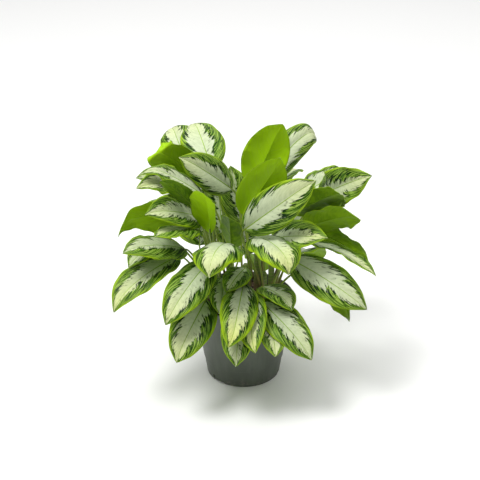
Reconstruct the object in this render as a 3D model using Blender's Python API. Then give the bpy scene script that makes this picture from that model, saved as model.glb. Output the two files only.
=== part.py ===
"""Potted Chinese evergreen: an open nursery pot, its soil, eight short canes and their leaves.

Metres, +Z up. The origin is the middle of the pot's underside, and -Y is the plant's front.
"""
import math
from collections import namedtuple

import bmesh
import bpy
from mathutils import Quaternion, Vector

CM = 0.01
MM = 0.001
CLEARANCE = 0.3 * MM

# Pot: a thin tapered wall, a band under the lip, and a base with a ring-shaped channel under it.
POT_HEIGHT = 0.2195
RIM_RADIUS = 0.127
RIM_BAND = 0.021
WALL_TOP_RADIUS = 0.1245
BASE_RADIUS = 0.0955
POT_WALL = 2 * MM
FLOOR_THICKNESS = 2.5 * MM
LIP_ROUND = 1.2 * MM
LIP_THICKNESS = 3.6 * MM
CHANNEL_SLOPE = 4 * MM
STEP_HEIGHT = 0.050
STEP_DEPTH = 1.2 * MM
BASE_PAD_RADIUS = 0.060
BASE_CHANNEL_RADIUS = 0.087
BASE_CHANNEL_DEPTH = 4 * MM
POT_SIDES = 72
FOOT_NOTCHES = 3
FOOT_NOTCH_WIDTH = 0.034
FOOT_NOTCH_HEIGHT = 5 * MM
FIRST_NOTCH_ANGLE = 228
DRAIN_HOLES = 3
DRAIN_HOLE_RADIUS = 4 * MM
DRAIN_HOLE_HEIGHT = 0.0119
FIRST_HOLE_ANGLE = 218
CUTTER_DEPTH = 0.020

# Soil: fills the pot up to a little below the lip.
SOIL_TOP = 0.198
SOIL_MOUND = 4 * MM
SOIL_RIPPLE = 1.2 * MM
SOIL_SIDE_GAP = 0.9 * MM
SOIL_SIDES = 40

# Canes: short upright stems with leaf scars, which the leaves grow from.
CANE_BOTTOM = 0.160
CANE_TOP = 0.302
CANE_RADIUS = 9.5 * MM
CANE_TIP_RADIUS = 8 * MM
CANE_SIDES = 24
CANES = {
    "middle": (0.5, -0.5),
    "north": (3.5, 6.5),
    "northwest": (-3.5, 6.5),
    "east": (7.0, 1.0),
    "southeast": (5.0, -5.0),
    "south": (-1.0, -7.0),
    "southwest": (-6.5, -3.5),
    "west": (-6.5, 2.5),
}

# Leaves: the lowest leaf of each cane comes first, and each next one sits a step higher.
FIRST_FOOT = 0.208
FOOT_STEP = 8.5 * MM
FOOT_RADIUS = 3.0 * MM
COLLAR_RADIUS = 2.1 * MM
FOOT_GAP = 0.4 * MM
STALK_RINGS = 6
STEEPEST_LEAN = math.radians(10)
WIDEST_LEAN = math.radians(38)
LEAF_THICKNESS = 1.2 * MM
KEEL_BASE = 2.4 * MM
KEEL_TIP = 0.6 * MM
FOLD = 0.40
CURL = 0.26
WIDTH_RISE = 0.6
WIDTH_FALL = 0.85
BLADE_STATIONS = (0.03, 0.12, 0.24, 0.38, 0.52, 0.66, 0.80, 0.92)

# Collar is where the stalk ends and the blade starts. Places and widths are in centimetres. Angles are
# in degrees: roll turns the blade about its length, rise lifts it at the collar, dip drops its tip,
# turn moves the stalk's foot around the cane, and sweep bends the blade sideways.
Leaf = namedtuple("Leaf", "number cane collar tip width roll rise dip turn sweep", defaults=(0, 0))
LEAVES = (
    Leaf(6, "south", (-0.5, -12, 25), (-2, -27, 17.5), 8.5, -5, 15, 25),
    Leaf(4, "south", (-4.5, -8, 31), (-5.5, -19, 27), 7, 0, 20, 25),
    Leaf(7, "south", (2, -12, 29), (2, -27, 21), 8, 10, 15, 25),
    Leaf(42, "south", (-3, -3.5, 37), (-3.5, -10, 48.5), 6, -30, 5, 5),
    Leaf(5, "south", (0, -11, 31), (-3, -28, 23), 9, -10, 20, 35),
    Leaf(30, "south", (0.5, -6, 32.5), (-4, -16.5, 31.4), 6.3, -10, 15, 25, -60),
    Leaf(11, "south", (-4, -8, 40), (-8, -27, 42), 12, 0, 20, 40),
    Leaf(8, "southeast", (5.6, -12, 24.3), (7.5, -26, 19.5), 8, 0, 15, 25),
    Leaf(9, "southeast", (3.8, -11.5, 26.3), (16, -25, 18), 9.5, 20, 20, 30),
    Leaf(29, "southeast", (15, -1, 29), (26, -15, 23), 8, -80, 15, 25),
    Leaf(28, "southeast", (11, -6, 35), (29, -19, 28), 10.5, 35, 20, 25),
    Leaf(10, "southeast", (4.5, -8, 28.3), (11.5, -19, 28), 8, 0, 15, 30),
    Leaf(25, "southeast", (15, -1, 37), (31, -15, 35), 8, -15, 15, 20),
    Leaf(12, "southeast", (3, -6, 41), (11, -23, 40), 11.5, 0, 20, 45, 60),
    Leaf(24, "southeast", (6, -4, 39), (19, -16, 45), 10, 35, 15, 20, 40),
    Leaf(13, "southeast", (0, -9, 44), (16, -14, 59), 10, 80, 12, 12),
    Leaf(27, "east", (13, 10, 28), (21, 26, 18), 10, -10, 20, 35),
    Leaf(26, "east", (16.5, 4, 38), (31, -11, 34.5), 8, -75, 15, 25),
    Leaf(47, "east", (13, 11, 37), (24, 27, 28), 10, 0, 20, 35, 30),
    Leaf(23, "east", (15, 1, 40), (27, -12, 49), 9.5, -50, 10, 15, -50),
    Leaf(22, "east", (12, 1, 43.5), (23, -11, 54.5), 10.5, -45, 10, 15, -10),
    Leaf(19, "east", (14, 8.5, 45), (27, 17, 49), 8, 25, 10, 20, 40),
    Leaf(20, "east", (19, 6, 46.5), (29, -8, 57.5), 9.5, 85, 10, 15, 20),
    Leaf(46, "north", (4, 14.5, 25.5), (5, 29, 12), 9, 0, 20, 35),
    Leaf(17, "north", (5, 10, 46), (16, 26, 46), 8, -10, 10, 15, -30),
    Leaf(50, "north", (0.2, 8.5, 37), (-3.5, 9.5, 53), 9, -68, 5, 10),
    Leaf(16, "north", (7, 8, 49), (20, 22, 58), 8.5, 45, 10, 40, -50, -35),
    Leaf(21, "northwest", (-1, 14, 26), (1, 22, 36), 10, 0, 5, 12),
    Leaf(48, "northwest", (-5.5, 12.5, 33), (-7, 20.5, 46), 10, 0, 5, 12),
    Leaf(43, "northwest", (-14, 13, 51.5), (-19, 31, 56.5), 10.5, -25, 10, 20),
    Leaf(41, "northwest", (-12, 9, 50.5), (-22.5, -2, 62), 8.5, 50, 10, 20, 30),
    Leaf(44, "northwest", (-8, 10, 52), (-13, 27, 59), 11, -10, 15, 20, -50),
    Leaf(3, "southwest", (-9, -12, 27), (-16, -26, 18), 10, -20, 20, 30),
    Leaf(1, "southwest", (-16, -5, 35), (-31, -21, 29), 9.5, -10, 20, 30),
    Leaf(2, "southwest", (-8, -9, 36), (-18, -26, 28), 10, -15, 20, 30),
    Leaf(31, "southwest", (-14, -5, 37), (-28, -18, 43), 9.5, -20, 15, 20),
    Leaf(40, "southwest", (-8, -7.5, 42.5), (-9, -16.5, 57), 8.5, -15, 10, 10, 50),
    Leaf(35, "southwest", (-11, -4.5, 42), (-20, -18, 47), 7.5, 0, 10, 10, 30),
    Leaf(34, "southwest", (-10.5, -1.5, 44), (-22, -16, 52), 9.5, -45, 10, 15, -60),
    Leaf(38, "southwest", (-11.5, -7.3, 49.2), (-19, -14, 59.2), 6, 35, 10, 10, -80),
    Leaf(49, "west", (-11.5, 12.5, 29.5), (-12, 22, 41), 9.5, 10, 5, 12),
    Leaf(32, "west", (-19, 1, 37), (-27, -13, 36), 7, -5, 15, 40),
    Leaf(18, "west", (-12, 12, 40), (-25, 25, 36), 9.5, 0, 20, 30, -20),
    Leaf(33, "west", (-10, 1, 44), (-31, -10, 46), 11, 70, 12, 18, 30),
    Leaf(37, "west", (-13.5, 8.5, 46), (-25.5, -3, 55), 7.5, -35, 10, 30, 10),
    Leaf(36, "west", (-12, 2.5, 50), (-25, -10, 55.5), 8.5, -30, 10, 20),
    Leaf(39, "middle", (-9.5, -1, 49.5), (-24, -8, 60), 7.5, -35, 10, 20),
    Leaf(14, "middle", (2, 3, 50), (9, -3, 69), 11, -65, 5, 5),
    Leaf(45, "middle", (-2.7, 5, 48.5), (-15, -2, 60), 9, -75, 10, 15),
    Leaf(15, "middle", (0, -5, 46), (9, -10, 63), 10.5, -70, 5, 5, 60),
)


def clear_scene():
    for item in list(bpy.data.objects):
        bpy.data.objects.remove(item, do_unlink=True)


def make_material(name, color, roughness):
    material = bpy.data.materials.new(name)
    material.use_nodes = True
    shader = material.node_tree.nodes["Principled BSDF"]
    shader.inputs["Base Color"].default_value = (*color, 1.0)
    shader.inputs["Roughness"].default_value = roughness
    shader.inputs["Metallic"].default_value = 0.0
    return material


def add_object(name, bm, material, smooth_angle=None):
    bm.normal_update()
    bmesh.ops.recalc_face_normals(bm, faces=bm.faces)
    mesh = bpy.data.meshes.new(name)
    bm.to_mesh(mesh)
    bm.free()
    mesh.materials.append(material)
    if smooth_angle is not None:
        mesh.shade_smooth()
        mesh.set_sharp_from_angle(angle=math.radians(smooth_angle))
    item = bpy.data.objects.new(name, mesh)
    bpy.context.collection.objects.link(item)
    return item


def turned_solid(profile, sides, center=(0.0, 0.0)):
    """Spin a profile of (radius, height) points, whose two ends are on the axis, into a closed solid."""
    bm = bmesh.new()
    bottom = bm.verts.new((*center, profile[0][1]))
    top = bm.verts.new((*center, profile[-1][1]))
    rings = []
    for radius, height in profile[1:-1]:
        ring = []
        for side in range(sides):
            angle = 2 * math.pi * side / sides
            place = (center[0] + radius * math.cos(angle), center[1] + radius * math.sin(angle), height)
            ring.append(bm.verts.new(place))
        rings.append(ring)
    for lower, upper in zip(rings, rings[1:]):
        bridge(bm, lower, upper)
    close_ring(bm, rings[0], bottom)
    close_ring(bm, rings[-1], top)
    return bm


def bridge(bm, first, second):
    count = len(first)
    for index in range(count):
        after = (index + 1) % count
        bm.faces.new((first[index], first[after], second[after], second[index]))


def close_ring(bm, ring, tip):
    count = len(ring)
    for index in range(count):
        bm.faces.new((ring[index], ring[(index + 1) % count], tip))


def add_cutter(target, cutter_bm, name):
    """Cut a closed shape out of an object, and keep the shape out of the built part."""
    cutter_bm.normal_update()
    bmesh.ops.recalc_face_normals(cutter_bm, faces=cutter_bm.faces)
    mesh = bpy.data.meshes.new(name)
    cutter_bm.to_mesh(mesh)
    cutter_bm.free()
    cutter = bpy.data.objects.new(name, mesh)
    bpy.context.collection.objects.link(cutter)
    cutter.hide_render = True
    cutter.display_type = "WIRE"
    cut = target.modifiers.new(name, "BOOLEAN")
    cut.operation = "DIFFERENCE"
    cut.solver = "EXACT"
    cut.object = cutter


def outer_wall_radius(height):
    """Radius of the pot's outer wall, which tapers down to the base."""
    lower_face = POT_HEIGHT - RIM_BAND
    radius = BASE_RADIUS + (WALL_TOP_RADIUS - BASE_RADIUS) * height / lower_face
    return radius - STEP_DEPTH if height < STEP_HEIGHT else radius


def build_pot():
    band_bottom = POT_HEIGHT - RIM_BAND
    floor_top = BASE_CHANNEL_DEPTH + FLOOR_THICKNESS
    inner_bottom = outer_wall_radius(floor_top) - POT_WALL
    profile = [
        (0.0, 0.0),
        (BASE_PAD_RADIUS, 0.0),
        (BASE_PAD_RADIUS + CHANNEL_SLOPE, BASE_CHANNEL_DEPTH),
        (BASE_CHANNEL_RADIUS - CHANNEL_SLOPE, BASE_CHANNEL_DEPTH),
        (BASE_CHANNEL_RADIUS, 0.0),
        (outer_wall_radius(0.0) - 2 * MM, 0.0),
        (outer_wall_radius(0.0), 2 * MM),
        (outer_wall_radius(STEP_HEIGHT - MM), STEP_HEIGHT - MM),
        (outer_wall_radius(STEP_HEIGHT), STEP_HEIGHT),
        (WALL_TOP_RADIUS, band_bottom - MM),
        (RIM_RADIUS - 0.5 * MM, band_bottom),
        (RIM_RADIUS, POT_HEIGHT - LIP_ROUND),
        (RIM_RADIUS - LIP_ROUND, POT_HEIGHT),
        (RIM_RADIUS - LIP_THICKNESS + MM, POT_HEIGHT),
        (RIM_RADIUS - LIP_THICKNESS, POT_HEIGHT - LIP_ROUND),
        (WALL_TOP_RADIUS - POT_WALL, band_bottom),
        (inner_bottom + MM, floor_top + 3 * MM),
        (inner_bottom - 2 * MM, floor_top),
        (0.0, floor_top),
    ]
    plastic = make_material("pot_plastic", (0.060, 0.078, 0.058), 0.48)
    pot = add_object("pot", turned_solid(profile, POT_SIDES), plastic, 35)
    for index in range(FOOT_NOTCHES):
        angle = math.radians(FIRST_NOTCH_ANGLE + 360 * index / FOOT_NOTCHES)
        add_cutter(pot, foot_notch(angle), f"foot_notch_cutter_{index + 1}")
    for index in range(DRAIN_HOLES):
        angle = math.radians(FIRST_HOLE_ANGLE + 360 * index / DRAIN_HOLES)
        add_cutter(pot, drain_hole(angle), f"drain_hole_cutter_{index + 1}")


def foot_notch(angle):
    """A box across the foot ring, which leaves a shallow notch in it."""
    bm = bmesh.new()
    bmesh.ops.create_cube(bm, size=1.0)
    size = Vector((CUTTER_DEPTH, FOOT_NOTCH_WIDTH, 2 * FOOT_NOTCH_HEIGHT))
    turn = Quaternion((0, 0, 1), angle)
    for vert in bm.verts:
        vert.co = turn @ (vert.co * size + Vector((BASE_RADIUS, 0, 0)))
    return bm


def drain_hole(angle):
    """A small round hole through the wall just above the base."""
    bm = bmesh.new()
    bmesh.ops.create_cone(
        bm,
        cap_ends=True,
        segments=12,
        radius1=DRAIN_HOLE_RADIUS,
        radius2=DRAIN_HOLE_RADIUS,
        depth=CUTTER_DEPTH,
    )
    lay_down = Quaternion((0, 1, 0), math.pi / 2)
    turn = Quaternion((0, 0, 1), angle)
    for vert in bm.verts:
        vert.co = turn @ (lay_down @ vert.co + Vector((BASE_RADIUS, 0, DRAIN_HOLE_HEIGHT)))
    return bm


def build_soil():
    floor = BASE_CHANNEL_DEPTH + FLOOR_THICKNESS + CLEARANCE
    inset = POT_WALL + SOIL_SIDE_GAP
    profile = [
        (0.0, floor),
        (outer_wall_radius(floor) - inset - 2 * MM, floor),
        (outer_wall_radius(0.02) - inset, 0.02),
        (outer_wall_radius(SOIL_TOP) - inset, SOIL_TOP - 3 * MM),
        (0.112, SOIL_TOP),
        (0.080, SOIL_TOP + 0.6 * SOIL_MOUND),
        (0.040, SOIL_TOP + SOIL_MOUND),
        (0.0, SOIL_TOP + SOIL_MOUND),
    ]
    bm = turned_solid(profile, SOIL_SIDES)
    for vert in bm.verts:
        if vert.co.z > SOIL_TOP + MM:
            vert.co.z += SOIL_RIPPLE * math.sin(130 * vert.co.x) * math.sin(170 * vert.co.y + 1)
    earth = make_material("potting_soil", (0.045, 0.028, 0.018), 0.95)
    soil = add_object("soil", bm, earth, 40)
    for name in CANES:
        add_cutter(soil, cane_pocket(name), f"pocket_cutter_{name}")


def cane_pocket(name):
    """The hole that a cane stands in."""
    x, y = CANES[name]
    radius = CANE_RADIUS + 2 * CLEARANCE
    bottom = CANE_BOTTOM - CLEARANCE
    top = SOIL_TOP + CUTTER_DEPTH
    profile = [(0.0, bottom), (radius, bottom), (radius, top), (0.0, top)]
    return turned_solid(profile, CANE_SIDES, (x * CM, y * CM))


def cane_radius(height):
    share = (height - CANE_BOTTOM) / (CANE_TOP - CANE_BOTTOM)
    return CANE_RADIUS + (CANE_TIP_RADIUS - CANE_RADIUS) * share


def build_cane(name, material):
    x, y = CANES[name]
    profile = [
        (0.0, CANE_BOTTOM),
        (cane_radius(CANE_BOTTOM) - 2 * MM, CANE_BOTTOM),
        (cane_radius(CANE_BOTTOM + 2 * MM), CANE_BOTTOM + 2 * MM),
        (cane_radius(CANE_TOP), CANE_TOP),
        (0.5 * CANE_TIP_RADIUS, CANE_TOP + 6 * MM),
        (0.0, CANE_TOP + 8 * MM),
    ]
    bm = turned_solid(profile, CANE_SIDES, (x * CM, y * CM))
    add_object(f"cane_{name}", bm, material, 40)


def cubic(points, t):
    a, b, c, d = points
    return a * (1 - t) ** 3 + b * 3 * t * (1 - t) ** 2 + c * 3 * t * t * (1 - t) + d * t**3


def cubic_direction(points, t):
    a, b, c, d = points
    slope = (b - a) * (1 - t) ** 2 + (c - b) * 2 * t * (1 - t) + (d - c) * t * t
    return slope.normalized()


def blade_curve(leaf):
    """The four control points of the midrib, and the direction that the blade's upper face looks."""
    collar = Vector(leaf.collar) * CM
    tip = Vector(leaf.tip) * CM
    along = (tip - collar).normalized()
    level = Vector((0, 0, 1))
    facing = (level - along * level.dot(along)).normalized()
    facing.rotate(Quaternion(along, math.radians(leaf.roll)))
    side = along.cross(facing)
    third = (tip - collar).length / 3
    start = along.copy()
    start.rotate(Quaternion(side, math.radians(leaf.rise)))
    start.rotate(Quaternion(facing, -math.radians(leaf.sweep)))
    end = along.copy()
    end.rotate(Quaternion(side, -math.radians(leaf.dip)))
    end.rotate(Quaternion(facing, math.radians(leaf.sweep)))
    return (collar, collar + start * third, tip - end * third, tip), facing


def stalk_curve(leaf, place_on_cane, start_of_blade):
    """The stalk leaves its cane steeply, then leans over until it runs on into the midrib."""
    x, y = CANES[leaf.cane]
    collar = Vector(leaf.collar) * CM
    foot_height = FIRST_FOOT + place_on_cane * FOOT_STEP
    out = Vector((collar.x - x * CM, collar.y - y * CM, 0.0))
    out.rotate(Quaternion((0, 0, 1), math.radians(leaf.turn)))
    rise = collar.z - foot_height
    lean = min(max(0.6 * math.atan2(out.length, rise), STEEPEST_LEAN), WIDEST_LEAN)
    out.normalize()
    start = out * math.sin(lean) + Vector((0, 0, 1)) * math.cos(lean)
    reach = cane_radius(foot_height) + FOOT_GAP + FOOT_RADIUS * math.cos(lean)
    foot = Vector((x * CM, y * CM, foot_height)) + out * reach
    length = (collar - foot).length
    return foot, foot + start * 0.4 * length, collar - start_of_blade * 0.2 * length, collar


def stalk_ring(center, facing, side, radius):
    diagonal = math.sqrt(0.5)
    turns = ((-1, 0), (-diagonal, diagonal), (0, 1), (diagonal, diagonal))
    turns += tuple((-a, -b) for a, b in turns)
    return [center + (side * a + facing * b) * radius for a, b in turns]


def blade_ring(center, facing, side, half_width, t):
    """A folded cross-section: two thin halves that rise from the midrib, with a keel under it."""
    half = 0.5 * LEAF_THICKNESS
    keel = KEEL_TIP + (KEEL_BASE - KEEL_TIP) * (1 - t)

    def point(share, offset):
        lift = half_width * (FOLD * abs(share) - CURL * share * share)
        return center + side * half_width * share + facing * (lift + offset)

    upper = [point(-1, 0), point(-0.5, half), point(0, half), point(0.5, half)]
    lower = [point(1, 0), point(0.5, -half), point(0, -half - keel), point(-0.5, -half)]
    return upper + lower


def blade_half_width(width, t):
    """Widest a little before the middle, and drawn out to a fine tip."""
    widest = WIDTH_RISE / (WIDTH_RISE + WIDTH_FALL)
    peak = widest**WIDTH_RISE * (1 - widest) ** WIDTH_FALL
    return 0.5 * width * CM * t**WIDTH_RISE * (1 - t) ** WIDTH_FALL / peak


def frame_along(tangent, facing):
    facing = (facing - tangent * facing.dot(tangent)).normalized()
    return facing, tangent.cross(facing)


def blade_rings(leaf, midrib, facing):
    rings = []
    for t in BLADE_STATIONS:
        up, side = frame_along(cubic_direction(midrib, t), facing)
        half_width = max(blade_half_width(leaf.width, t), COLLAR_RADIUS * 1.05)
        rings.append(blade_ring(cubic(midrib, t), up, side, half_width, t))
    return rings


def stalk_rings(stalk, facing):
    """Rings from the foot to the collar, turned as little as possible from one to the next."""
    rings = []
    for index in range(STALK_RINGS - 1, -1, -1):
        u = index / (STALK_RINGS - 1)
        facing, side = frame_along(cubic_direction(stalk, u), facing)
        radius = FOOT_RADIUS + (COLLAR_RADIUS - FOOT_RADIUS) * u
        rings.insert(0, stalk_ring(cubic(stalk, u), facing, side, radius))
    return rings


def build_leaf(leaf, place_on_cane, material):
    midrib, facing = blade_curve(leaf)
    stalk = stalk_curve(leaf, place_on_cane, cubic_direction(midrib, 0.0))
    places = stalk_rings(stalk, facing) + blade_rings(leaf, midrib, facing)
    bm = bmesh.new()
    rings = [[bm.verts.new(place) for place in ring] for ring in places]
    for first, second in zip(rings, rings[1:]):
        bridge(bm, first, second)
    bm.faces.new(rings[0])
    close_ring(bm, rings[-1], bm.verts.new(midrib[3]))
    add_object(f"leaf_{leaf.number:02d}", bm, material, 50)


def build_part():
    clear_scene()
    build_pot()
    build_soil()
    bark = make_material("cane_bark", (0.180, 0.230, 0.070), 0.55)
    for name in CANES:
        build_cane(name, bark)
    blade = make_material("leaf_blade", (0.280, 0.420, 0.160), 0.38)
    leaves_so_far = dict.fromkeys(CANES, 0)
    for leaf in LEAVES:
        build_leaf(leaf, leaves_so_far[leaf.cane], blade)
        leaves_so_far[leaf.cane] += 1


build_part()
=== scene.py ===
"""Potted Chinese evergreen: its pot, soil, canes and variegated leaves, finished around the CAD part."""
import math
import random

import bmesh
import bpy
import numpy as np
from mathutils import Matrix, Quaternion, Vector, noise


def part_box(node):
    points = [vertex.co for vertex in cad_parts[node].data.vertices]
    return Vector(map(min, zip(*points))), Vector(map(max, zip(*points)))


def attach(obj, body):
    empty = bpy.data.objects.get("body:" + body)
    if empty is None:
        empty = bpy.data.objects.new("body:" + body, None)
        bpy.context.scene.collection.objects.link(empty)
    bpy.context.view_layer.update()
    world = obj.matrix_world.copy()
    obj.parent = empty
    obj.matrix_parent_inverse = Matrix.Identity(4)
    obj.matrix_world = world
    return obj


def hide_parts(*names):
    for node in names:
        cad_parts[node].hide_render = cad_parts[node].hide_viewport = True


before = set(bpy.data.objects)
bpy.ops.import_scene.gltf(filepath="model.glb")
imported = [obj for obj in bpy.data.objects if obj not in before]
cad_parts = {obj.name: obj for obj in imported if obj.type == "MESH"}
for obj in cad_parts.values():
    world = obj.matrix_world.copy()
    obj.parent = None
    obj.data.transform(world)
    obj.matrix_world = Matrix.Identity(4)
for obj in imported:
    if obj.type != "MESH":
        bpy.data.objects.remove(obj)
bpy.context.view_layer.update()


# ---------------------------------------------------------------------------------------------
# Pot: a thin injection-moulded nursery pot of dull dark green plastic, standing on its foot ring.
# It keeps the CAD shape and gets moulding grain, faint vertical flow marks, faded patches, and
# soil dust near the floor and on the lip.

MM = 0.001
POT_GREEN = (0.074, 0.088, 0.066, 1)
POT_FADED = (0.094, 0.110, 0.086, 1)
POT_DUST = (0.19, 0.17, 0.14, 1)
FLOOR_DUST_TOP = 35 * MM
LIP_DUST_FOOT = 205 * MM
LIP_DUST_TOP = 219.5 * MM


class Wire:
    """One socket of a material's nodes. Arithmetic on it adds Math nodes."""

    def __init__(self, tree, socket=None):
        self.tree = tree
        self.socket = socket

    def node(self, kind, settings=None, sockets=None, output=0):
        """Add a node: its settings come first, then the values or wires of its sockets."""
        made = self.tree.nodes.new(kind)
        for name, value in (settings or {}).items():
            setattr(made, name, value)
        for name, value in (sockets or {}).items():
            if isinstance(value, Wire):
                self.tree.links.new(value.socket, made.inputs[name])
            else:
                made.inputs[name].default_value = value
        return Wire(self.tree, made.outputs[output])

    def math(self, operation, *values):
        """Add a Math node, with the values or wires in the order of its sockets."""
        return self.node("ShaderNodeMath", {"operation": operation}, dict(enumerate(values)))

    def __add__(self, other):
        return self.math("ADD", self, other)

    def __sub__(self, other):
        return self.math("SUBTRACT", self, other)

    def __rsub__(self, other):
        return self.math("SUBTRACT", other, self)

    def __mul__(self, other):
        return self.math("MULTIPLY", self, other)

    def __abs__(self):
        return self.math("ABSOLUTE", self)

    __radd__ = __add__
    __rmul__ = __mul__

    def step(self, low, high, at_low=0.0, at_high=1.0):
        """A soft step from one value to another as this one passes from low to high."""
        sockets = {"Value": self, "From Min": low, "From Max": high, "To Min": at_low, "To Max": at_high}
        return self.node("ShaderNodeMapRange", {"interpolation_type": "SMOOTHSTEP"}, sockets)

    def mix(self, first, second):
        """A mix of two colours, with this value as the share of the second."""
        return self.node("ShaderNodeMix", {"data_type": "RGBA"}, {0: self, 6: first, 7: second}, output=2)

    def grain(self, scale, detail=2.0, roughness=0.5):
        """Noise at the places that this vector gives."""
        sockets = {"Vector": self, "Scale": scale, "Detail": detail, "Roughness": roughness}
        return self.node("ShaderNodeTexNoise", None, sockets)


def start_material(name):
    """A new material's tree as a bare wire, and its Principled shader."""
    material = bpy.data.materials.new(name)
    material.use_nodes = True
    tree = material.node_tree
    return material, Wire(tree), tree.nodes["Principled BSDF"]


def plug(shader, wires):
    """Set or link the sockets of a material's main shader."""
    for name, value in wires.items():
        if isinstance(value, Wire):
            value.tree.links.new(value.socket, shader.inputs[name])
        else:
            shader.inputs[name].default_value = value


def bumped(height, strength, distance):
    """A Bump node over a height, for the shader's Normal."""
    sockets = {"Height": height, "Strength": strength, "Distance": distance}
    return height.node("ShaderNodeBump", None, sockets)


def pot_material():
    material, tree, shader = start_material("pot_plastic_finish")
    place = tree.node("ShaderNodeTexCoord", output=3)
    height = tree.node("ShaderNodeSeparateXYZ", None, {0: place}, output=2)
    stretched = tree.node("ShaderNodeVectorMath", {"operation": "MULTIPLY"}, {0: place, 1: (1, 1, 0.12)})
    flow = stretched.grain(55, detail=3.0)
    cloud = place.grain(14, detail=4.0)
    grain = place.grain(900)
    faded = (flow * 0.5 + cloud * 0.5).step(0.42, 0.66)
    green = faded.mix(POT_GREEN, POT_FADED)
    low_dust = height.step(0.0, FLOOR_DUST_TOP, at_low=0.75, at_high=0.0)
    lip_dust = height.step(LIP_DUST_FOOT, LIP_DUST_TOP, at_high=0.35)
    dust = (low_dust + lip_dust) * place.grain(70, detail=5.0, roughness=0.65).step(0.50, 0.68)
    plug(shader, {
        "Base Color": dust.mix(green, POT_DUST),
        "Roughness": cloud.step(0.3, 0.7, 0.44, 0.58) + dust * 0.2,
        "Specular IOR Level": 0.45,
        "Normal": bumped(grain * 0.6 + flow * 0.4, 0.18, 0.0006),
    })
    return material


pot_finish = pot_material()
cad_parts["pot"].data.materials.clear()
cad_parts["pot"].data.materials.append(pot_finish)


# ---------------------------------------------------------------------------------------------
# Soil: dark damp potting mix, pressed down a little below the lip. It keeps the CAD shape, and
# chips of bark, crumbs of the mix and beads of white perlite lie loose in its surface.

SOIL_DARK = (0.020, 0.012, 0.007, 1)
SOIL_BROWN = (0.085, 0.055, 0.034, 1)
CHIP_RED = (0.15, 0.075, 0.040, 1)
CHIP_GREY = (0.26, 0.20, 0.145, 1)
PERLITE_WHITE = (0.66, 0.64, 0.58, 1)
PERLITE_GREY = (0.50, 0.48, 0.42, 1)
CHIP_COUNT = 520
PERLITE_COUNT = 130
SOIL_REACH = 118 * MM
SOIL_LOWEST = 190 * MM
LUMP_NARROWEST, LUMP_WIDEST = 0.4, 0.9
LUMP_TILT = 0.5
LUMP_RAISED = 0.25
LUMP_ROUGHNESS = 0.25


def soil_material():
    material, tree, shader = start_material("potting_soil_finish")
    place = tree.node("ShaderNodeTexCoord", output=3)
    crumbs = place.node("ShaderNodeTexVoronoi", None, {"Vector": place, "Scale": 260})
    lumps = place.grain(120, detail=6.0, roughness=0.7)
    plug(shader, {
        "Base Color": (lumps * 0.8 + crumbs * 0.3).step(0.40, 0.72).mix(SOIL_DARK, SOIL_BROWN),
        "Roughness": 0.95,
        "Specular IOR Level": 0.2,
        "Normal": bumped(lumps + crumbs * 0.5, 0.9, 0.004),
    })
    return material


def chip_material(name, first, second, scale):
    material, tree, shader = start_material(name)
    place = tree.node("ShaderNodeTexCoord", output=3)
    mottle = place.grain(scale, detail=4.0, roughness=0.6)
    plug(shader, {
        "Base Color": mottle.step(0.40, 0.60).mix(first, second),
        "Roughness": 0.9,
        "Specular IOR Level": 0.2,
        "Normal": bumped(place.grain(scale * 5, detail=3.0), 0.5, 0.001),
    })
    return material


def finish_piece(name, bm, materials):
    """Turn a bmesh into a piece of the plant, which rides on its one body."""
    mesh = bpy.data.meshes.new(name)
    bm.to_mesh(mesh)
    bm.free()
    for material in materials:
        mesh.materials.append(material)
    piece = bpy.data.objects.new(name, mesh)
    bpy.context.scene.collection.objects.link(piece)
    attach(piece, "root")
    return piece


def soil_height(x, y):
    """The height of the soil's surface below a point, or None where there is no soil."""
    hit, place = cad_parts["soil"].ray_cast(Vector((x, y, 0.3)), Vector((0, 0, -1)))[:2]
    return place.z if hit else None


def strew(name, count, sizes, flatness, material, draw):
    """Small rough lumps, half sunk in the soil and lying at all angles."""
    bm = bmesh.new()
    for _ in range(count):
        angle = draw.uniform(0, math.tau)
        reach = SOIL_REACH * math.sqrt(draw.random())
        size = draw.uniform(*sizes)
        x, y = reach * math.cos(angle), reach * math.sin(angle)
        top = soil_height(x, y)
        narrow = draw.uniform(LUMP_NARROWEST, LUMP_WIDEST)
        shape = Matrix.Diagonal((size, size * narrow, size * flatness, 1))
        lean_x = Matrix.Rotation(draw.uniform(-LUMP_TILT, LUMP_TILT), 4, "X")
        lean_y = Matrix.Rotation(draw.uniform(-LUMP_TILT, LUMP_TILT), 4, "Y")
        turn = Matrix.Rotation(draw.uniform(0, math.tau), 4, "Z")
        if top is None or top < SOIL_LOWEST:
            continue
        middle = Matrix.Translation((x, y, top + LUMP_RAISED * size * flatness))
        place = middle @ lean_x @ lean_y @ turn @ shape
        lump = bmesh.ops.create_icosphere(bm, subdivisions=1, radius=1.0, matrix=place)
        for vert in lump["verts"]:
            vert.co += noise.noise_vector(vert.co * 300) * size * LUMP_ROUGHNESS
    bm.normal_update()
    finish_piece(name, bm, [material])


soil_finish = soil_material()
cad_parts["soil"].data.materials.clear()
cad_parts["soil"].data.materials.append(soil_finish)
bark_finish = chip_material("bark_chip_finish", CHIP_RED, CHIP_GREY, 90)
perlite_finish = chip_material("perlite_finish", PERLITE_WHITE, PERLITE_GREY, 400)
chip_draw = random.Random(3)
noise.seed_set(3)
strew("bark_chips", CHIP_COUNT, (1.6 * MM, 5.0 * MM), 0.35, bark_finish, chip_draw)
strew("soil_crumbs", CHIP_COUNT, (1.2 * MM, 3.5 * MM), 0.8, soil_finish, chip_draw)
strew("perlite", PERLITE_COUNT, (0.9 * MM, 2.2 * MM), 0.9, perlite_finish, chip_draw)


# ---------------------------------------------------------------------------------------------
# Canes: eight short upright stems, ringed by the scars of old leaves, which stand in the soil.
# They are green and fleshy at the top and turn corky and brown towards the soil.

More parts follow.
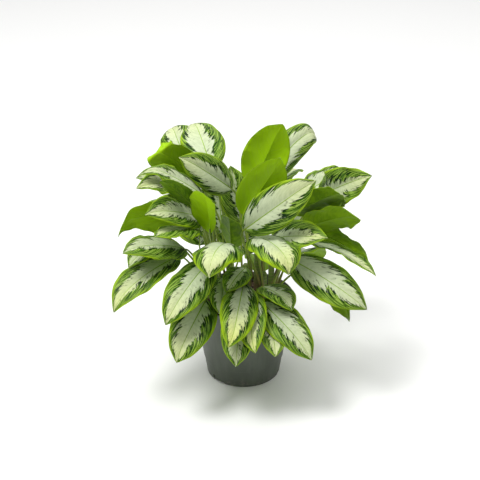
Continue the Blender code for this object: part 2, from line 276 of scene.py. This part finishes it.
CANE_SCAR_STEP = 9 * MM
RINGS_PER_SCAR = 6
SCAR_BULGE = 0.22 * MM
CANE_INSET = 0.4 * MM
CANE_TAPER = 0.16
CANE_SHOULDER = 7 * MM
CANE_CROWN = 2 * MM
CANE_SIDES = 28
MERGE_GAP = 1e-5
CANE_GREEN = (0.13, 0.20, 0.035, 1)
CANE_BROWN = (0.17, 0.12, 0.055, 1)
SCAR_TAN = (0.30, 0.23, 0.12, 1)


def cane_material():
    material, tree, shader = start_material("cane_bark_finish")
    place = tree.node("ShaderNodeTexCoord", output=3)
    height = tree.node("ShaderNodeSeparateXYZ", None, {0: place}, output=2)
    mottle = place.grain(160, detail=4.0, roughness=0.6)
    age = (height + mottle * 0.04).step(0.215, 0.275, at_low=1.0, at_high=0.0)
    body = age.mix(CANE_GREEN, CANE_BROWN)
    swing = (height + mottle * 0.003) * (math.tau / CANE_SCAR_STEP)
    ring = swing.math("SINE", swing)
    scar = ring.step(0.80, 0.97)
    plug(shader, {
        "Base Color": (scar * 0.55).mix(body, SCAR_TAN),
        "Roughness": 0.6,
        "Specular IOR Level": 0.35,
        "Normal": bumped(mottle + ring * 0.1, 0.35, 0.001),
    })
    return material


def build_cane(node, material):
    """One cane, spun from its outline: ringed up to its shoulder and blunt at its crown."""
    low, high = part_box(node)
    center = (low + high) / 2
    radius = (high.x - low.x) / 2
    bm = bmesh.new()
    height = low.z
    outline = [Vector((0, 0, height))]
    while height < high.z - CANE_SHOULDER:
        share = (height - low.z) / (high.z - low.z)
        bulge = SCAR_BULGE * math.sin(math.tau * height / CANE_SCAR_STEP)
        outline.append(Vector((radius * (1 - CANE_TAPER * share) - CANE_INSET + bulge, 0, height)))
        height += CANE_SCAR_STEP / RINGS_PER_SCAR
    outline.append(Vector((radius * 0.5, 0, high.z - CANE_CROWN)))
    outline.append(Vector((0, 0, high.z)))
    verts = [bm.verts.new(point) for point in outline]
    edges = [bm.edges.new(pair) for pair in zip(verts, verts[1:])]
    bmesh.ops.spin(bm, geom=verts + edges, axis=(0, 0, 1), cent=(0, 0, 0),
                   steps=CANE_SIDES, angle=math.tau, use_merge=True)
    bmesh.ops.remove_doubles(bm, verts=bm.verts, dist=MERGE_GAP)
    bmesh.ops.translate(bm, verts=bm.verts, vec=(center.x, center.y, 0))
    bmesh.ops.recalc_face_normals(bm, faces=bm.faces)
    for face in bm.faces:
        face.smooth = True
    piece = finish_piece(node + "_detail", bm, [material])
    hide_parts(node)


cane_finish = cane_material()
for node in sorted(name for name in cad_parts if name.startswith("cane_")):
    build_cane(node, cane_finish)


# ---------------------------------------------------------------------------------------------
# Leaves: thin glossy blades, grown in one piece with their round fleshy stalks. A blade is folded
# a little along its midrib, waved at its margin and drawn out to a fine tip, and the stalk runs on
# under it as a keel. Its silver middle breaks up into dark green strokes towards a lime margin.

STALK_RINGS = 6
BLADE_STATIONS = (0.03, 0.12, 0.24, 0.38, 0.52, 0.66, 0.80, 0.92)
LENGTHWISE = 44
ACROSS = 18
BLADE_THICKNESS = 0.8 * MM
MIDRIB_DEPTH = 0.6 * MM
GROOVE_DEPTH = 0.7 * MM
GROOVE_WIDTH = 1.6 * MM
WIDTH_RISE, WIDTH_FALL = 0.58, 0.74
TIP_FROM = 0.86
TIP_PINCH = 0.38
BEND_FROM = 0.72
CREASE_LENGTH = 0.10
TAPER_FROM, TAPER_LENGTH = 0.45, 0.45
STALK_SIDES = 12
STALK_CUTS = 26
STALK_FOOT_RADIUS = 3.0 * MM
STALK_COLLAR_RADIUS = 2.1 * MM
KEEL_FROM = 0.06
KEEL_END = 0.99
KEEL_TIP_RADIUS = 0.15 * MM
KEEL_DROP = 0.2 * MM
SILVER = (0.555, 0.620, 0.415, 1)
CREAM = (0.640, 0.680, 0.210, 1)
DARK_GREEN = (0.004, 0.024, 0.001, 1)
MID_GREEN = (0.062, 0.165, 0.004, 1)
PALE_STREAK = (0.300, 0.440, 0.070, 1)
MARGIN_LIME = (0.310, 0.480, 0.008, 1)
# Underside colours that hold painted light: dark green for an underside in shade, lime for one that light
# shines through.
SHADED_UNDER_GREEN = (0.055, 0.135, 0.000, 1)
BACKLIT_UNDER_LIME = (0.380, 0.650, 0.000, 1)
STALK_GREEN = (0.190, 0.275, 0.022, 1)
STALK_BROWN = (0.190, 0.110, 0.050, 1)
LEAF_LAYERS = ("along", "across", "seed", "tone", "lime_and_backlight", "lean", "pale")


def leaf_rings(node):
    """A CAD leaf as rings of eight points each, from the stalk's foot to the last one before the tip."""
    bm = bmesh.new()
    bm.from_mesh(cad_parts[node].data)
    bmesh.ops.remove_doubles(bm, verts=bm.verts, dist=MERGE_GAP)
    count = STALK_RINGS + len(BLADE_STATIONS)
    for tip in bm.verts:
        if len(tip.link_edges) != 8:
            continue
        levels, seen, edge = [], {tip}, [tip]
        while edge:
            after = {e.other_vert(v) for v in edge for e in v.link_edges} - seen
            seen |= after
            edge = sorted(after, key=lambda v: tuple(v.co))
            if edge:
                levels.append(edge)
        if [len(level) for level in levels] == [8] * count:
            rings = [[v.co.copy() for v in level] for level in reversed(levels)]
            point = tip.co.copy()
            bm.free()
            return rings, point
    raise RuntimeError("leaf not read: " + node)


def curve_through(stations, points):
    """The cubic nearest to some points, as two functions of its share: its place and its direction."""
    terms = np.polyfit(stations, np.array([list(p) for p in points]), 3)
    slopes = np.array([3 * terms[0], 2 * terms[1], terms[2]])

    def place(t):
        return Vector(((terms[0] * t + terms[1]) * t + terms[2]) * t + terms[3])

    def direction(t):
        return Vector((slopes[0] * t + slopes[1]) * t + slopes[2]).normalized()

    return place, direction


class LeafPlan:
    """Where a leaf's midrib and stalk run, which way its upper face looks, and how wide it is."""

    def __init__(self, node):
        rings, tip = leaf_rings(node)
        stalk_middles = [sum(ring, Vector()) / 8 for ring in rings[:STALK_RINGS]]
        middles, ups, halves = [], [], []
        for ring in rings[STALK_RINGS:]:
            pairs = [(i, j) for i in range(8) for j in range(i + 1, 8)]
            width, i, j = max(((ring[i] - ring[j]).length, i, j) for i, j in pairs)
            side = (ring[i] - ring[j]).normalized()
            between = (ring[i] + ring[j]) / 2
            rest = [p for k, p in enumerate(ring) if k not in (i, j)]
            rest.sort(key=lambda p: abs((p - between).dot(side)))
            top, keel = sorted(rest[:2], key=lambda p: (p - between).length)
            up = (top - keel).normalized()
            middles.append(top - up * MIDRIB_DEPTH)
            ups.append(up)
            halves.append(width / 2)
        collar = stalk_middles[-1]
        stations = (0.0,) + BLADE_STATIONS + (1.0,)
        self.midrib, self.midrib_direction = curve_through(stations, [collar] + middles + [tip])
        shares = [i / (STALK_RINGS - 1) for i in range(STALK_RINGS)]
        self.stalk, self.stalk_direction = curve_through(shares, stalk_middles)
        self.facing = sum(ups, Vector()).normalized()
        self.half_width = max(halves)
        self.length = (tip - collar).length

    def frame_at(self, direction):
        """The way up and the way to the side, square to a direction of growth."""
        up = (self.facing - direction * self.facing.dot(direction)).normalized()
        return up, direction.cross(up)


def ramp(t, start, length):
    """How far t has come past a start, as a share of a length, from 0 to 1."""
    return min(1.0, max(0.0, (t - start) / length))


def outline(t):
    """Half the blade's width at a share of its length, as a share of its greatest half width."""
    widest = WIDTH_RISE / (WIDTH_RISE + WIDTH_FALL)
    peak = widest**WIDTH_RISE * (1 - widest) ** WIDTH_FALL
    drawn_out = 1 - TIP_PINCH * ramp(t, TIP_FROM, 1 - TIP_FROM) ** 1.2
    return t**WIDTH_RISE * (1 - t) ** WIDTH_FALL / peak * drawn_out


def spine(plan, style, t):
    """A point of the midrib, its way up and its way to the side. Past a crease the blade is bent back."""
    crease, bend = style["crease"]
    place, direction = plan.midrib(t), plan.midrib_direction(t)
    up, side = plan.frame_at(direction)
    past = ramp(t, crease, CREASE_LENGTH)
    if past > 0:
        hinge = plan.midrib(crease)
        turn = Quaternion(plan.frame_at(plan.midrib_direction(crease))[1], math.radians(bend) * past)
        place = hinge + turn @ (place - hinge)
        up = turn @ up
    late = max(0.0, t - BEND_FROM)
    place = place + (side * style["hook"] - up * style["curl"]) * plan.length * late**2
    return place, up, side


def blade_place(plan, style, t, v):
    """A point on the blade's upper face: t runs from collar to tip, and v from margin to margin."""
    place, up, side = spine(plan, style, t)
    half = plan.half_width * outline(t) * style["left" if v < 0 else "right"]
    half *= 1 - style["taper"] * ramp(t, TAPER_FROM, TAPER_LENGTH)
    fold = half * (style["fold"] * abs(v) - style["arch"] * v * v)
    groove = GROOVE_DEPTH * math.exp(-((v * half) / GROOVE_WIDTH) ** 2)
    swing = math.tau * (style["waves"] * t + style["phase"] + (0.37 if v > 0 else 0.0))
    ripple = math.tau * (2.7 * style["waves"] * t + 3 * style["phase"] + (0.61 if v > 0 else 0.0))
    wave = style["wave"] * plan.half_width * abs(v) ** 2.2 * min(1.0, 4 * t * (1 - t))
    wave *= math.sin(swing) + 0.35 * math.sin(ripple)
    return place + side * v * half + up * (fold - groove + wave)


def build_leaf(node, style, materials):
    """One leaf: a grid bent into the upper face, its underside, and the stalk with its keel."""
    plan = LeafPlan(node)
    bm = bmesh.new()
    layers = {name: bm.verts.layers.float.new(name) for name in LEAF_LAYERS}
    along, across, seed = (layers[name] for name in ("along", "across", "seed"))
    bmesh.ops.create_grid(bm, x_segments=LENGTHWISE, y_segments=ACROSS, size=1.0)
    for vert in bm.verts:
        vert[along] = (vert.co.x + 1) / 2
        vert[across] = vert.co.y
        vert.co = blade_place(plan, style, ramp(vert[along], 0.0, 1.0), vert[across])
    bm.normal_update()
    if sum(face.normal.dot(plan.facing) for face in bm.faces) < 0:
        bmesh.ops.reverse_faces(bm, faces=bm.faces)
    under = bmesh.ops.extrude_face_region(bm, geom=bm.faces[:], use_keep_orig=True)["geom"]
    under_faces = [item for item in under if isinstance(item, bmesh.types.BMFace)]
    under_verts = {vert for face in under_faces for vert in face.verts}
    for vert in under_verts:
        up = spine(plan, style, ramp(vert[along], 0.0, 1.0))[1]
        vert.co -= up * BLADE_THICKNESS
    for face in under_faces:
        face.material_index = 1
    bmesh.ops.remove_doubles(bm, verts=bm.verts, dist=MERGE_GAP)
    bmesh.ops.recalc_face_normals(bm, faces=bm.faces)
    if bm.calc_volume(signed=True) < 0:
        bmesh.ops.reverse_faces(bm, faces=bm.faces)
    # The blade gets its seed first, so the vertices without one are the stalk's.
    for vert in bm.verts:
        vert[seed] = style["seed"]
    add_stalk(bm, plan, style, along, across, seed)
    for face in bm.faces:
        face.smooth = True
    for vert in bm.verts:
        for name in ("seed", "tone", "lime_and_backlight", "lean", "pale"):
            vert[layers[name]] = style[name]
    piece = finish_piece(node + "_detail", bm, materials)
    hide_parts(node)


def add_stalk(bm, plan, style, along, across, seed):
    """A round stalk from the foot to the collar, which runs on under the blade as its keel."""
    bmesh.ops.create_cone(bm, cap_ends=True, segments=STALK_SIDES, radius1=1.0, radius2=1.0, depth=2.0)
    verts = [vert for vert in bm.verts if vert[seed] == 0]
    rails = {e for v in verts for e in v.link_edges if abs(e.verts[0].co.z - e.verts[1].co.z) > 1.0}
    bmesh.ops.subdivide_edges(bm, edges=list(rails), cuts=STALK_CUTS)
    verts = [vert for vert in bm.verts if vert[seed] == 0]
    for vert in verts:
        share = vert.co.z
        if share <= 0:
            u = share + 1
            center = plan.stalk(u)
            up, side = plan.frame_at(plan.stalk_direction(u))
            radius = STALK_FOOT_RADIUS + (STALK_COLLAR_RADIUS - STALK_FOOT_RADIUS) * u
            drop = 0.0
        else:
            center, up, side = spine(plan, style, min(share, KEEL_END))
            radius = STALK_COLLAR_RADIUS * (1 - share) ** 0.8 + KEEL_TIP_RADIUS
            drop = radius * 0.75 * ramp(share, 0.0, KEEL_FROM) + KEEL_DROP
        vert[along] = share
        vert[across] = vert.co.y
        vert.co = center - up * drop + (up * vert.co.y - side * vert.co.x) * radius
    for face in {face for vert in verts for face in vert.link_faces}:
        keel = min(vert[along] for vert in face.verts) > KEEL_FROM
        face.material_index = 1 if keel else 2


def leaf_wires(tree, *names):
    """Wires of the values kept in a leaf's mesh: places on the blade, and the leaf's own style."""
    return [tree.node("ShaderNodeAttribute", {"attribute_name": name}, output=2) for name in names]


def vein_grain(along, across, seed, fine, slow, detail, roughness=0.5):
    """Noise drawn out along the side veins, which sweep forward from the midrib to the margin."""
    out = abs(across)
    vein = along - out * 0.16 - out * out * out * 0.28
    other_half = across.math("SIGN", across) * 3.7
    sockets = {0: vein * fine, 1: out * slow, 2: other_half + seed}
    return along.node("ShaderNodeCombineXYZ", None, sockets).grain(1.0, detail, roughness)


def upper_material():
    """The patterned upper face. Where depth is above 0 the green margin has taken over the silver."""
    material, tree, shader = start_material("leaf_upper_finish")
    along, across, seed = leaf_wires(tree, "along", "across", "seed")
    tone, lean, pale = leaf_wires(tree, "tone", "lean", "pale")
    out = abs(across)
    side = across.math("SIGN", across)
    drift = vein_grain(along, across, seed + 3, fine=6, slow=1.2, detail=1.0)
    teeth = vein_grain(along, across, seed, fine=20, slow=2.6, detail=4.0, roughness=0.68)
    strokes = vein_grain(along, across, seed + 11, fine=30, slow=4.4, detail=3.0, roughness=0.6)
    streaks = vein_grain(along, across, seed + 23, fine=52, slow=1.9, detail=3.0, roughness=0.62)
    mottle = vein_grain(along, across, seed + 31, fine=30, slow=5, detail=4.0, roughness=0.6)
    veins = vein_grain(along, across, 0.0, fine=46, slow=0.3, detail=0.0)
    edge = along.step(0.0, 0.16, 0.10, pale) - along.step(0.84, 1.0, at_high=0.25) + side * lean
    depth = out + (teeth - 0.5) * 0.74 + (drift - 0.5) * 0.70 - edge
    green = depth.step(-0.025, 0.025)
    fringe = depth.step(-0.14, 0.0) * depth.step(0.06, 0.30, at_low=1.0, at_high=0.0)
    dark = fringe * strokes.step(0.49, 0.54)
    dots = depth.step(-0.40, -0.04) * strokes.step(0.57, 0.61)
    silver = (along.step(0.35, 0.95) * tone).mix(SILVER, CREAM)
    cloudy = mottle.step(0.3, 0.7, at_low=0.20, at_high=0.0)
    # Towards the collar the silver turns greener and darker: partly the leaf's own greener base, partly
    # painted shade where the base of the blade sits inside the plant.
    collar_tint_and_shade = along.step(0.0, 0.30, at_low=0.22, at_high=0.0)
    silver = (cloudy + collar_tint_and_shade).mix(silver, MID_GREEN)
    silver = out.step(0.006, 0.022, at_low=0.14, at_high=0.0).mix(silver, PALE_STREAK)
    band = streaks.step(0.49, 0.56).mix(MID_GREEN, PALE_STREAK)
    band = streaks.step(0.40, 0.46, at_low=0.9, at_high=0.0).mix(band, DARK_GREEN)
    color = green.mix(silver, band)
    color = dark.math("MAXIMUM", dark, dots).mix(color, DARK_GREEN)
    sunny = out * 0.75 + along * 0.30 + tone * 0.22 + (streaks - 0.5) * 0.7
    color = (sunny.step(0.90, 1.15) * green * 0.75).mix(color, MARGIN_LIME)
    lip = (out + (streaks - 0.5) * 0.50 + (drift - 0.5) * 0.30 + tone * 0.05).step(0.89, 1.02)
    plug(shader, {
        "Base Color": (lip * 0.8).mix(color, MARGIN_LIME),
        "Roughness": mottle.step(0.2, 0.8, at_low=0.34, at_high=0.44),
        "Specular IOR Level": 0.12,
        "Normal": bumped(veins + mottle * 0.25, 0.30, 0.002),
    })
    return material


def under_material():
    """The plain underside, with its side veins standing out a little. Its mix from dark green to lime,
    set for each leaf, is painted light: lime where light shines through the blade, dark green where the
    underside lies in shade.
    """
    material, tree, shader = start_material("leaf_under_finish")
    along, across, seed, lime_and_backlight = leaf_wires(tree, "along", "across", "seed", "lime_and_backlight")
    mottle = vein_grain(along, across, seed + 5, fine=12, slow=3, detail=3.0, roughness=0.6)
    veins = vein_grain(along, across, 0.0, fine=46, slow=0.3, detail=0.0)
    # Painted light: each leaf's share of lime stands for how much light shines through its underside.
    body = lime_and_backlight.mix(SHADED_UNDER_GREEN, BACKLIT_UNDER_LIME)
    body = mottle.step(0.35, 0.65, at_high=0.25).mix(body, BACKLIT_UNDER_LIME)
    body = abs(across).step(0.93, 1.0, at_high=0.6).mix(body, MARGIN_LIME)
    plug(shader, {
        "Base Color": veins.step(0.5, 0.62, at_high=0.12).mix(body, PALE_STREAK),
        "Roughness": 0.50,
        "Specular IOR Level": 0.22,
        "Normal": bumped(veins * -1.0 + mottle * 0.3, 0.35, 0.002),
    })
    return material


def stalk_material():
    """Fleshy green, and dull brown at the foot, where the stalk sheathes its cane."""
    material, tree, shader = start_material("leaf_stalk_finish")
    along, = leaf_wires(tree, "along")
    place = tree.node("ShaderNodeTexCoord", output=3)
    mottle = place.grain(220, detail=3.0)
    foot = (along + mottle * 0.3).step(-0.9, -0.45, at_low=0.8, at_high=0.0)
    plug(shader, {
        "Base Color": foot.mix(STALK_GREEN, STALK_BROWN),
        "Roughness": 0.45,
        "Specular IOR Level": 0.4,
        "Normal": bumped(mottle, 0.2, 0.0006),
    })
    return material


# What sets single leaves apart. tone: yellower silver. lime: the underside's share of lime, which is
# painted light: lime where light shines through the blade, dark green where the underside is shaded.
# pale: how far the silver reaches; on leaves deep inside the plant it is turned far down as painted
# shade. lean: how much the silver favours one side. fold and arch: the cross-section. wave: the
# margin's swing. hook and curl: the tip, sideways and down. left, right and taper: the width.
# crease: the share of the length where the blade is bent back, and by how many degrees.
LEAF_STYLES = {
    1: {"tone": 0.6, "curl": 0.3, "pale": 0.46},
    2: {"pale": 0.52},
    3: {"tone": 0.5, "pale": 0.55},
    4: {"pale": 0.44},
    5: {"tone": 1.0, "pale": 0.50},
    6: {"tone": 0.3, "pale": 0.45},
    7: {"tone": 0.8, "pale": 0.52, "arch": 0.28, "wave": 0.05},
    8: {"arch": 0.28, "wave": 0.03, "curl": 0.1},
    9: {"pale": 0.46, "arch": 0.28, "wave": 0.05, "curl": 0.1},
    10: {"pale": 0.34, "arch": 0.28, "wave": 0.04},
    11: {"tone": 0.5, "curl": 1.6, "arch": 0.75, "pale": 0.58},
    12: {"tone": 0.7, "curl": 1.2, "arch": 0.6, "pale": 0.54},
    13: {"lean": -0.14, "wave": 0.05, "arch": 0.4, "pale": 0.62, "left": 0.98, "right": 0.98},
    14: {"lime_and_backlight": 0.95, "wave": 0.05},
    15: {"lime_and_backlight": 0.75, "wave": 0.05},
    16: {"hook": 1.8, "curl": 1.6, "arch": 0.6, "pale": 0.60},
    18: {"arch": 0.28, "wave": 0.04},
    20: {"wave": 0.17, "waves": 2.6, "pale": 0.48},
    # Leaf 21 lies deep inside the plant: its low pale is painted shade, which turns most of its silver to
    # dark green.
    21: {"left": 1.4, "right": 1.4, "pale": 0.20},
    22: {"lime_and_backlight": 0.15, "wave": 0.14},
    23: {"lime_and_backlight": 0.35, "wave": 0.14},
    24: {"tone": 0.6, "pale": 0.48, "arch": 0.28, "wave": 0.05, "left": 0.9, "right": 0.9, "curl": 0.1},
    25: {"arch": 0.28},
    26: {"lime_and_backlight": 0.3},
    28: {"pale": 0.55},
    29: {"lime_and_backlight": 0.25, "left": 1.25, "right": 1.25},
    30: {"pale": 0.36},
    31: {"pale": 0.44},
    33: {"lime_and_backlight": 0.75, "taper": 0.4, "left": 1.12, "right": 1.12, "hook": 1.2, "curl": 1.5,
         "wave": 0.14},
    34: {"pale": 0.48, "arch": 0.28, "wave": 0.05},
    35: {"left": 1.2, "right": 1.2, "pale": 0.40},
    36: {"wave": 0.16, "taper": 0.2, "arch": 0.28},
    37: {"curl": 0.2},
    38: {"lime_and_backlight": 0.0, "left": 0.9, "right": 0.9, "wave": 0.04, "arch": 0.3},
    39: {"taper": 0.45, "hook": -1.2, "curl": 1.2, "wave": 0.16, "pale": 0.52},
    40: {"lime_and_backlight": 1.0, "left": 0.4, "right": 1.25, "arch": 0.2},
    41: {"lime_and_backlight": 0.8, "crease": (0.70, 140.0), "wave": 0.05, "left": 1.2, "right": 1.2},
    42: {"lime_and_backlight": 0.1, "left": 1.15, "right": 1.15},
    43: {"arch": 0.5, "curl": 0.6, "pale": 0.50, "wave": 0.05},
    44: {"arch": 0.5, "curl": 0.6, "pale": 0.52, "wave": 0.05},
    45: {"pale": 0.60},
    # Leaves 48, 49 and 50 lie deep inside the plant: their low pale is painted shade, which turns most of
    # their silver to dark green.
    48: {"left": 1.3, "right": 1.3, "pale": 0.16},
    49: {"left": 1.45, "right": 1.45, "pale": 0.16},
    50: {"pale": 0.20},
}

leaf_finishes = [upper_material(), under_material(), stalk_material()]
for node in sorted(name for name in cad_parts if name.startswith("leaf_")):
    number = int(node.split("_")[1])
    draw = random.Random(number)
    style = {
        "seed": 10.0 * draw.random() + number,
        "tone": 0.15 + 0.35 * draw.random(),
        "lime_and_backlight": 0.2 + 0.2 * draw.random(),
        "waves": draw.uniform(1.6, 3.0),
        "phase": draw.random(),
        "wave": draw.uniform(0.06, 0.12),
        "curl": draw.uniform(0.1, 0.7),
        "lean": draw.uniform(-0.14, 0.14),
        "pale": 0.56,
        "crease": (1.0, 0.0),
        "fold": 0.42,
        "taper": 0.0,
        "hook": draw.uniform(-0.5, 0.5),
        "arch": draw.uniform(0.25, 0.62),
        "left": draw.uniform(0.94, 1.04),
        "right": draw.uniform(0.94, 1.04),
    }
    style.update(LEAF_STYLES.get(number, {}))
    build_leaf(node, style, leaf_finishes)


# ---------------------------------------------------------------------------------------------
# Stand: a plain pale paper floor, which is not part of the plant. Broad soft light falls from the
# ceiling, with a smaller lamp at the front left, and the camera looks down a little from the front.

FLOOR_WHITE = (0.93, 0.93, 0.92, 1)
FLOOR_REACH = 14.0
ROOM_GLOW = 0.34


def build_floor():
    bm = bmesh.new()
    bmesh.ops.create_grid(bm, x_segments=2, y_segments=2, size=FLOOR_REACH)
    mesh = bpy.data.meshes.new("floor")
    bm.to_mesh(mesh)
    bm.free()
    material, tree, shader = start_material("floor_paper")
    plug(shader, {"Base Color": FLOOR_WHITE, "Roughness": 0.75, "Specular IOR Level": 0.2})
    mesh.materials.append(material)
    floor = bpy.data.objects.new("floor", mesh)
    bpy.context.scene.collection.objects.link(floor)


def add_light(name, place, target, size, power):
    light = bpy.data.lights.new(name, "AREA")
    light.shape = "DISK"
    light.size = size
    light.energy = power
    item = bpy.data.objects.new(name, light)
    item.location = place
    item.rotation_euler = (Vector(target) - Vector(place)).to_track_quat("-Z", "Y").to_euler()
    bpy.context.scene.collection.objects.link(item)


def light_the_room():
    world = bpy.data.worlds.new("studio")
    world.use_nodes = True
    world.node_tree.nodes["Background"].inputs["Color"].default_value = (1, 1, 1, 1)
    world.node_tree.nodes["Background"].inputs["Strength"].default_value = ROOM_GLOW
    bpy.context.scene.world = world
    add_light("ceiling", place=(0, 2.0, 4.5), target=(0, 2.0, 0), size=11.0, power=350)
    add_light("key", place=(-1.1, -0.9, 3.1), target=(0, 0, 0.35), size=1.1, power=62)


def add_camera():
    elevation = math.radians(25.6)
    distance = 2.5
    target = Vector((-0.009, 0.0, 0.371))
    camera = bpy.data.cameras.new("camera")
    camera.sensor_width = 36
    camera.lens = 75.8
    item = bpy.data.objects.new("camera", camera)
    item.location = target + distance * Vector((0, -math.cos(elevation), math.sin(elevation)))
    item.rotation_euler = (target - item.location).to_track_quat("-Z", "Y").to_euler()
    bpy.context.scene.collection.objects.link(item)
    bpy.context.scene.camera = item


build_floor()
light_the_room()
add_camera()
bpy.context.scene.view_settings.view_transform = "Standard"
